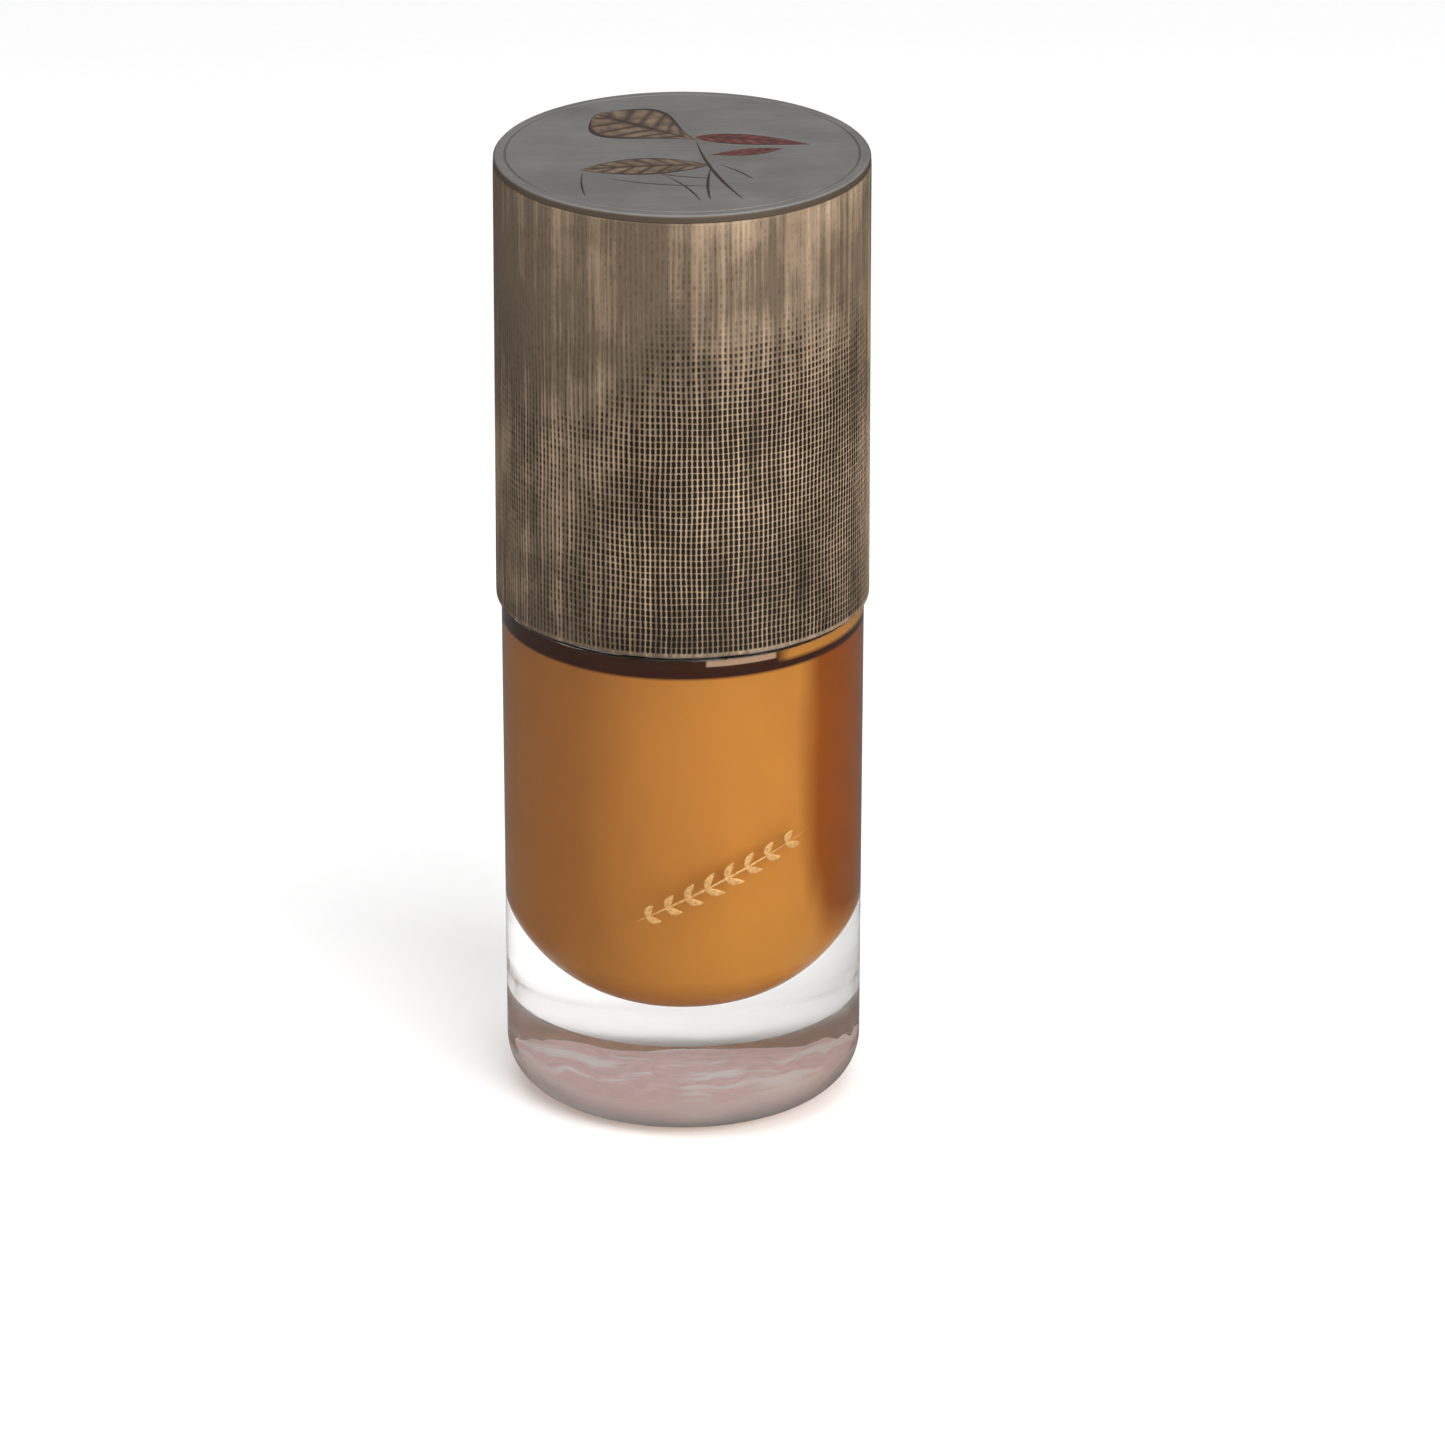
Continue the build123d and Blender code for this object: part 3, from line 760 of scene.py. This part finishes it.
class BOTTLE_OT_top_plate(PieceOperator, bpy.types.Operator):
    """Turn the cap's disc with its ring groove and bevelled rim"""

    bl_idname = "bottle.top_plate"
    bl_label = "Top plate"

    def execute(self, context):
        radius, low, high = radius_of("cap_top_plate"), foot_of("cap_top_plate"), top_of("cap_top_plate")
        seat = top_of("cap_sleeve")
        spigot = radius - 1.7 * MM
        groove = radius - 1.45 * MM
        outline = rounded(
            [
                (0, low, 0),
                (spigot, low, 0.2 * MM),
                (spigot, seat, 0.1 * MM),
                (radius - 0.05 * MM, seat, 0.12 * MM),
                (radius - 0.05 * MM, high - 0.3 * MM, 0.15 * MM),
                (radius - 0.32 * MM, high, 0.15 * MM),
                (groove + 0.16 * MM, high, 0.04 * MM),
                (groove + 0.08 * MM, high - 0.15 * MM, 0.03 * MM),
                (groove - 0.08 * MM, high - 0.15 * MM, 0.03 * MM),
                (groove - 0.16 * MM, high, 0.04 * MM),
                (0, high, 0),
            ],
            steps=5,
        )
        points, faces = lathe(outline, 256)
        build_piece(
            "cap_disc", points, faces, "cap", ["cap_top_plate"], satin_grey(self.colours)
        )
        return {"FINISHED"}


class BOTTLE_OT_leaf_motif(PieceOperator, bpy.types.Operator):
    """Lay the enamel leaves and their stalk on the cap's disc"""

    bl_idname = "bottle.leaf_motif"
    bl_label = "Leaf motif"

    # base, tip, width and sideways bend in millimetres from the disc's centre, and fullness
    brown_leaves = (
        ((2.3, 4.2), (-10.6, 14.2), 12.2, 0.2, 1.75),
        ((3.6, -4.6), (-12.5, -6.4), 6.0, -0.4, 1.0),
    )
    red_leaves = (
        ((1.6, 5.6), (15.6, 2.9), 3.8, 0.3, 0.7),
        ((3.2, -0.9), (12.2, 1.4), 2.4, -0.2, 1.2),
    )
    stalk_and_twigs = (
        ((7.4, -17.0), (1.7, 4.6), 0.44, 0.9, 0.8),
        ((3.4, -17.2), (3.6, -5.0), 0.36, 0.4, 0.8),
        ((2.2, -17.6), (-2.2, -8.4), 0.24, -0.6, 0.8),
        ((3.3, -12.2), (-9.0, -9.4), 0.22, 0.8, 0.8),
        ((3.5, -9.4), (-3.6, -7.4), 0.20, 0.4, 0.8),
        ((-11.6, -15.8), (-12.0, -7.2), 0.22, 0.3, 0.8),
        ((8.6, -9.8), (4.4, -4.4), 0.20, -0.3, 0.8),
    )

    def execute(self, context):
        brown, red, dark = (tuple(getattr(self.colours, tone)) for tone in ("brown", "red", "outline"))
        self.lay("brown_leaf_pair", "brown_leaves", "brown_enamel", brown, self.brown_leaves, 7)
        self.lay("red_leaf_pair", "red_leaves", "red_enamel", red, self.red_leaves, 8)
        self.lay("leaf_stalk", "leaf_stem", "brown_enamel", dark, self.stalk_and_twigs, 0)
        return {"FINISHED"}

    def lay(self, name, node, slot, tone, leaves, veins):
        """Sink the blades of one colour into the disc's face, as one piece."""
        parts = [
            blade(
                np.array(base) * MM, np.array(tip) * MM, width * MM, 0.09 * MM, bend * MM,
                along=80, across=48, veins=veins, fullness=fullness,
            )
            for base, tip, width, bend, fullness in leaves
        ]
        points, faces, marks = join_parts(parts)
        points[:, 2] = top_of("cap_top_plate") + np.maximum(points[:, 2], -0.03 * MM)
        enamel = leaf_enamel(f"{name}_enamel", tone, tuple(self.colours.outline))
        build_piece(name, points, faces, "cap", [node], enamel, marks)


class BOTTLE_OT_collar(PieceOperator, bpy.types.Operator):
    """Turn the bright collar shell that covers the crimped ferrule"""

    bl_idname = "bottle.collar"
    bl_label = "Collar"

    def execute(self, context):
        radius, low, high = radius_of("collar_shell"), foot_of("collar_shell"), top_of("collar_shell")
        inner, mouth = radius - 0.65 * MM, radius_of("actuator_shell") + 0.7 * MM
        outline = closed_outline(
            [
                (inner, low, 0.05 * MM),
                (radius, low, 0.15 * MM),
                (radius, low + 2.2 * MM, 0.05 * MM),
                (radius - 0.12 * MM, low + 2.4 * MM, 0.05 * MM),
                (radius, low + 2.6 * MM, 0.05 * MM),
                (radius, high, 0.6 * MM),
                (mouth, high, 0.2 * MM),
                (mouth, high - 0.5 * MM, 0.1 * MM),
                (inner, high - 0.5 * MM, 0.1 * MM),
            ]
        )
        points, faces = turned_shell(outline, self.sizes.segments)
        build_piece(
            "bronze_collar", points, faces, "collar", ["collar_shell"],
            turned_metal("bronze_anodised", tuple(self.colours.collar)),
        )
        return {"FINISHED"}


class BOTTLE_OT_hidden_pieces(PieceOperator, bpy.types.Operator):
    """Give the pieces that keep their CAD shape their finishes"""

    bl_idname = "bottle.hidden_pieces"
    bl_label = "Pump, liner and other inner pieces"

    def execute(self, context):
        bronze = turned_metal("bronze_button", tuple(self.colours.collar))
        steel = turned_metal("bright_steel", (0.55, 0.55, 0.56), 1.0, 0.2, 0.35)
        aluminium = turned_metal("plain_aluminium", (0.62, 0.62, 0.63), 1.0)
        natural = moulded_plastic("natural_plastic", (0.72, 0.72, 0.68))
        black = moulded_plastic("dark_plastic", (0.012, 0.011, 0.010), 0.3, 0.45)
        brown = moulded_plastic("liner_plastic", tuple(self.colours.liner), 0.45, 0.6)
        blue = moulded_plastic("piston_plastic", (0.05, 0.12, 0.3))
        tube = moulded_plastic("clear_tube", (0.7, 0.7, 0.68), 0.1, 0.2)
        rubber = moulded_plastic("gasket_rubber", (0.012, 0.012, 0.012), 0.6, 0.8, 4.0)
        foam = moulded_plastic("foam", (0.6, 0.58, 0.52), 0.8, 0.95, 5.0)
        finishes = {
            ("actuator_shell",): bronze,
            ("actuator", "nozzle_insert"): black,
            ("cap_liner", "grip_tube"): brown,
            ("pump_housing", "pump_closure", "stem", "collar_clip"): natural,
            ("piston",): blue,
            ("ferrule",): aluminium,
            ("spring", "inlet_ball", "cap_weight"): steel,
            ("dip_tube",): tube,
            ("neck_gasket", "stem_gasket"): rubber,
            ("foam_pad",): foam,
        }
        for nodes, material in finishes.items():
            for node in nodes:
                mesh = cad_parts[node].data
                mesh.materials.clear()
                mesh.materials.append(material)
        return {"FINISHED"}


class BOTTLE_OT_stage(PieceOperator, bpy.types.Operator):
    """Set the pale floor, the soft lights and the camera"""

    bl_idname = "bottle.stage"
    bl_label = "Floor, lights and camera"

    def execute(self, context):
        self.floor()
        self.world()
        middle = Vector((0, 0, 0.06))
        # name, bearing and elevation in degrees, distance, width, height, power in watts
        self.softbox(middle, "key_light", 34, 24, 0.9, 0.9, 0.8, 13.0)
        self.softbox(middle, "left_light", -80, 20, 0.9, 0.3, 1.0, 4.5)
        self.softbox(middle, "top_light", 0, 86, 1.6, 2.0, 2.0, 23.0)
        self.camera(Vector((0, 0, 0.0603)))
        return {"FINISHED"}

    def floor(self):
        """Lay a round floor that shows in no reflection, so that the glass keeps its colour."""
        a = np.linspace(0, 2 * math.pi, 128, endpoint=False)
        points = np.stack([6 * np.cos(a), 6 * np.sin(a), np.zeros_like(a)], -1)
        mesh = bpy.data.meshes.new("pale_floor")
        mesh.from_pydata(points.tolist(), [], [list(range(len(a)))])
        floor = bpy.data.objects.new("pale_floor", mesh)
        finish = Finish("floor_paint", Roughness=0.9, Specular_IOR_Level=0.1)
        grain = finish.noise(0.5, 2.0)
        finish.set("Base Color", finish.mix(grain, (0.93, 0.93, 0.93), (0.96, 0.96, 0.96)))
        mesh.materials.append(finish.material)
        bpy.context.scene.collection.objects.link(floor)
        floor.visible_glossy = False

    def world(self):
        world = bpy.data.worlds.new("studio")
        world.use_nodes = True
        background = world.node_tree.nodes["Background"]
        background.inputs["Color"].default_value = (1.0, 1.0, 1.0, 1)
        background.inputs["Strength"].default_value = 0.17
        bpy.context.scene.world = world
        bpy.context.scene.view_settings.view_transform = "Standard"

    def softbox(self, target, name, bearing, elevation, distance, width, height, power):
        light = bpy.data.lights.new(name, "AREA")
        light.shape = "RECTANGLE"
        light.size, light.size_y, light.energy = width, height, power
        lamp = bpy.data.objects.new(name, light)
        b, e = math.radians(bearing), math.radians(elevation)
        away = Vector((math.sin(b) * math.cos(e), -math.cos(b) * math.cos(e), math.sin(e)))
        lamp.location = target + away * distance
        lamp.rotation_euler = away.to_track_quat("Z", "Y").to_euler()
        bpy.context.scene.collection.objects.link(lamp)

    def camera(self, middle):
        """Stand 1.33 m off at 21.8 degrees, the bottle a little left of and above the middle."""
        elevation, distance = math.radians(21.8), 1.329
        back = Vector((0, -math.cos(elevation), math.sin(elevation)))
        right = Vector((1, 0, 0))
        up = back.cross(right)
        camera = bpy.data.cameras.new("camera")
        camera.lens, camera.sensor_width = 268.2, 36.0
        camera.clip_start, camera.clip_end = 0.01, 50.0
        eye = bpy.data.objects.new("camera", camera)
        place = middle + back * distance
        aim = middle + right * 4.88 * MM - up * 12.16 * MM
        eye.location = place
        eye.rotation_euler = (place - aim).to_track_quat("Z", "Y").to_euler()
        bpy.context.scene.collection.objects.link(eye)
        bpy.context.scene.camera = eye


class BOTTLE_PT_pieces(bpy.types.Panel):
    """The bottle's sizes, colours and pieces"""

    bl_idname = "BOTTLE_PT_pieces"
    bl_label = "Aftershave bottle"
    bl_space_type = "VIEW_3D"
    bl_region_type = "UI"
    bl_category = "Bottle"

    def draw(self, context):
        for group in (context.scene.bottle_sizes, context.scene.bottle_colours):
            box = self.layout.box()
            for name in group.__annotations__:
                box.prop(group, name)
        for operator in OPERATORS:
            self.layout.operator(operator.bl_idname)


OPERATORS = (
    BOTTLE_OT_stage,
    BOTTLE_OT_glass,
    BOTTLE_OT_liquid,
    BOTTLE_OT_base_label,
    BOTTLE_OT_gold_sprig,
    BOTTLE_OT_woven_sleeve,
    BOTTLE_OT_top_plate,
    BOTTLE_OT_leaf_motif,
    BOTTLE_OT_collar,
    BOTTLE_OT_hidden_pieces,
)
CLASSES = (BottleSizes, BottleColours, *OPERATORS, BOTTLE_PT_pieces)


def register():
    for cls in CLASSES:
        bpy.utils.register_class(cls)
    bpy.types.Scene.bottle_sizes = bpy.props.PointerProperty(type=BottleSizes)
    bpy.types.Scene.bottle_colours = bpy.props.PointerProperty(type=BottleColours)


def unregister():
    del bpy.types.Scene.bottle_colours
    del bpy.types.Scene.bottle_sizes
    for cls in reversed(CLASSES):
        bpy.utils.unregister_class(cls)


def main():
    register()
    for operator in OPERATORS:
        group, action = operator.bl_idname.split(".")
        getattr(getattr(bpy.ops, group), action)()


if __name__ == "__main__":
    main()
